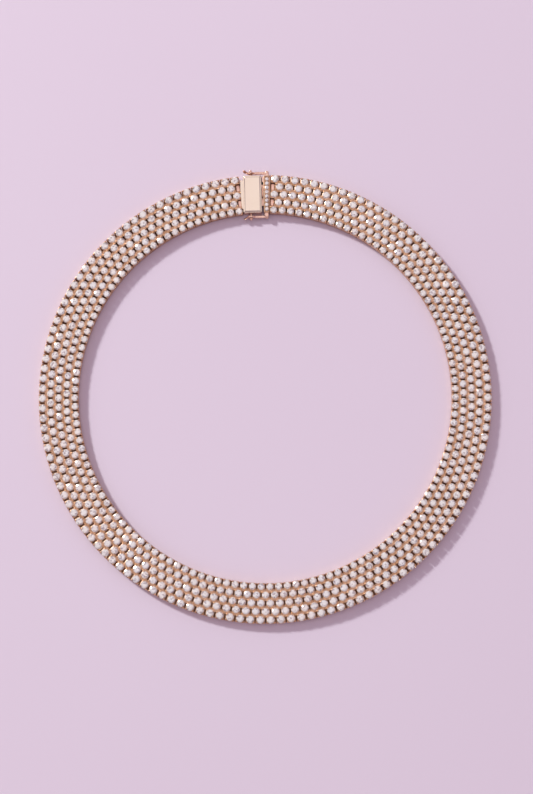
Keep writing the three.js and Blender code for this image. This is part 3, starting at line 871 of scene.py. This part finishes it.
# Safety catches: knuckle, flat arm, eye over the ball peg and thumb leaf

catch = {
    "armWidth": 0.86, "armHeight": 0.66, "armCorner": 0.24,
    "armFromEye": ((-0.05, 0.62), (0.25, 0.72), (0.7, 1)),  # (distance, share of the section)
    "armToPin": ((0.1, 1), (0.02, 0.9)),  # from the outside and the bore of the knuckle
    "eyeHole": 0.56, "eyeWire": 0.33, "eyeSteps": 24, "eyeSides": 10,
    "leafLength": 1.7, "leafWidth": 1.3, "leafThickness": 0.42, "leafSink": 0.05,
    "leanDegrees": 28, "tiltDegrees": 55,
    "leafStations": (0.0, 0.12, 0.3, 0.5, 0.7, 0.85, 0.95, 1.0), "leafSides": 12,
    "leafNeck": 0.45, "leafThinning": 0.35, "leafWidest": 0.8, "leafRoundFrom": 0.7,
    "leafTipShare": 0.03,
}


def knucklePart(x, y, z):
    inner, outer = hinge["pinRadius"] + hinge["clearance"], knuckleRadius
    half, ease = hinge["knuckleHeight"] / 2, hinge["knuckleEase"]
    profile = [(inner, -half + ease), (inner + ease, -half), (outer - ease, -half),
               (outer, -half + ease), (outer, half - ease), (outer - ease, half),
               (inner + ease, half), (inner, half - ease)]
    return loft([[(x + radius * math.cos(t), y + radius * math.sin(t), z + up)
                  for t in fullTurn(hinge["knuckleSides"])] for radius, up in profile], "joined")


def armPart(x, y, z, eyeRadius):
    fromPin = (knuckleRadius, hinge["pinRadius"] + hinge["clearance"])
    stations = [(pegX + eyeRadius + off, size) for off, size in catch["armFromEye"]]
    stations += [(x - radius - off, size) for radius, (off, size) in zip(fromPin, catch["armToPin"])]
    halfY, halfZ = catch["armWidth"] / 2, catch["armHeight"] / 2
    loops = []
    for at, size in stations:
        loop = roundedLoop(-halfY * size, halfY * size, -halfZ * size, halfZ * size,
                           catch["armCorner"] * size, 0, 4)
        loops.append([(at, y + u, z + v) for u, v, _ in loop])
    return loft(loops)


def leafWidthAt(share):  # widens from the neck, then closes in a round tip
    roundFrom, widest, neckShare = catch["leafRoundFrom"], catch["leafWidest"], catch["leafNeck"]
    if share < widest:
        return neckShare + (1 - neckShare) * math.sin(math.pi * (share / widest) / 2)
    return math.sqrt(max(1 - ((share - roundFrom) / (1 - roundFrom)) ** 2, catch["leafTipShare"]))


def leafPart(start, side):
    lean, tilt = math.radians(catch["leanDegrees"]), math.radians(catch["tiltDegrees"])
    along = Vector((-math.cos(lean), side * math.sin(lean), 0))
    beside = Vector((-along.y, along.x, 0)) * -side
    across = beside * math.cos(tilt) + Vector((0, 0, math.sin(tilt)))
    through = along.cross(across)
    loops = []
    for share in catch["leafStations"]:
        centre = start + along * catch["leafLength"] * share
        halfWidth = catch["leafWidth"] / 2 * leafWidthAt(share)
        halfThick = catch["leafThickness"] / 2 * (1 - catch["leafThinning"] * share)
        loops.append([tuple(centre + across * halfWidth * math.cos(t)
                            + through * halfThick * math.sin(t))
                      for t in fullTurn(catch["leafSides"])])
    return loft(loops)


def catchPart(side):
    x, y, z = hingeX(side), side * hingeY, box["catchHeight"]
    eyeRadius = catch["eyeHole"] + catch["eyeWire"]
    ring = [(pegX + eyeRadius * math.cos(t), y, z + eyeRadius * math.sin(t))
            for t in fullTurn(catch["eyeSteps"])]
    eye = wire(ring, [catch["eyeWire"]] * len(ring), catch["eyeSides"], closed=True)
    leafStart = Vector((pegX - eyeRadius + catch["leafSink"], y, z))
    return joined([knucklePart(x, y, z), armPart(x, y, z, eyeRadius), eye,
                   leafPart(leafStart, side)])


for side, name in ((-1, "inner"), (1, "outer")):
    addToClasp(f"catch_{name}", catchPart(side), "rose_gold_polished", f"safety_catch_{name}",
               body=f"{name}_catch")
print("catches made")


# Floor, lights and camera

studio = {
    "floorSize": 5.0, "floorSteps": 8, "floorRoughness": 0.75, "floorShine": 0.2,
    "floorDeep": (0.735, 0.665, 0.765), "floorPale": (0.775, 0.715, 0.805),
    "cloudScale": 3.0, "cloudDetail": 2,
    "worldColor": (0.97, 0.6, 0.9), "worldStrength": 0.26,
}
key = {"azimuth": -47, "elevation": 32, "distance": 2.4, "size": 0.28, "power": 44.0,
       "color": (1, 1, 1)}
overhead = {"azimuth": 10, "elevation": 82, "distance": 2.0, "size": 1.8, "power": 6.0,
            "color": (1, 0.94, 0.93)}
cards = {"elevation": 27, "distance": 2.4, "size": 2.2, "color": (1, 0.92, 0.87)}
cardPlaces = (("back", 0, 7.632), ("right", 90, 5.512), ("front", 180, 4.664), ("left", 270, 8.48))

bpy.ops.mesh.primitive_grid_add(x_subdivisions=studio["floorSteps"],
                                y_subdivisions=studio["floorSteps"], size=studio["floorSize"])
floor = bpy.context.object
floor.name = "floor"
paper, nodes, links, shader = newMaterial("pale_paper")
shader.inputs["Roughness"].default_value = studio["floorRoughness"]
shader.inputs["Specular IOR Level"].default_value = studio["floorShine"]
place = nodes.new("ShaderNodeTexCoord")
cloud = noiseNode(nodes, studio["cloudScale"], studio["cloudDetail"])
tone = nodes.new("ShaderNodeValToRGB")
setRamp(tone, [(0, studio["floorDeep"]), (1, studio["floorPale"])])
links.new(place.outputs["Object"], cloud.inputs["Vector"])
links.new(cloud.outputs["Fac"], tone.inputs["Fac"])
links.new(tone.outputs["Color"], shader.inputs["Base Color"])
floor.data.materials.append(paper)

world = bpy.data.worlds.new("studio")
bpy.context.scene.world = world
world.use_nodes = True
sky = world.node_tree.nodes["Background"]
sky.inputs["Color"].default_value = (*studio["worldColor"], 1)
sky.inputs["Strength"].default_value = studio["worldStrength"]

middle = Vector((0, ringY * mm, stoneTop * mm))


def addLight(name, azimuth, elevation, distance, size, power, color):  # clockwise from +Y
    a, e = math.radians(azimuth), math.radians(elevation)
    back = Vector((math.sin(a) * math.cos(e), math.cos(a) * math.cos(e), math.sin(e)))
    lamp = bpy.data.lights.new(name, "AREA")
    lamp.shape, lamp.size, lamp.energy, lamp.color = "DISK", size, power, color
    light = bpy.data.objects.new(name, lamp)
    light.location = middle + back * distance
    light.rotation_mode = "QUATERNION"
    light.rotation_quaternion = back.to_track_quat("Z", "Y")
    bpy.context.scene.collection.objects.link(light)


addLight("key", **key)
addLight("overhead", **overhead)
for name, azimuth, power in cardPlaces:
    addLight(f"card_{name}", azimuth=azimuth, power=power, **cards)
bpy.context.scene.view_settings.view_transform = "Standard"

shot = {"azimuth": -2.7, "elevation": 82.3, "distance": 500, "lens": 72.4,
        "aimRight": 0.41, "aimUp": -0.63, "longSide": 36, "nearest": 0.05, "farthest": 20}
a, e = math.radians(shot["azimuth"]), math.radians(shot["elevation"])
back = Vector((math.sin(a) * math.cos(e), -math.cos(a) * math.cos(e), math.sin(e)))
right = Vector((math.cos(a), math.sin(a), 0))
up = back.cross(right)
lens = bpy.data.cameras.new("camera")
lens.lens, lens.sensor_width, lens.sensor_fit = shot["lens"], shot["longSide"], "AUTO"
lens.clip_start, lens.clip_end = shot["nearest"], shot["farthest"]
camera = bpy.data.objects.new("camera", lens)
camera.location = middle + mm * (back * shot["distance"] + right * shot["aimRight"]
                                 + up * shot["aimUp"])
camera.rotation_mode = "QUATERNION"
camera.rotation_quaternion = Matrix((right, up, back)).transposed().to_quaternion()
bpy.context.scene.collection.objects.link(camera)
bpy.context.scene.camera = camera
print("studio set")

bpy.context.view_layer.update()
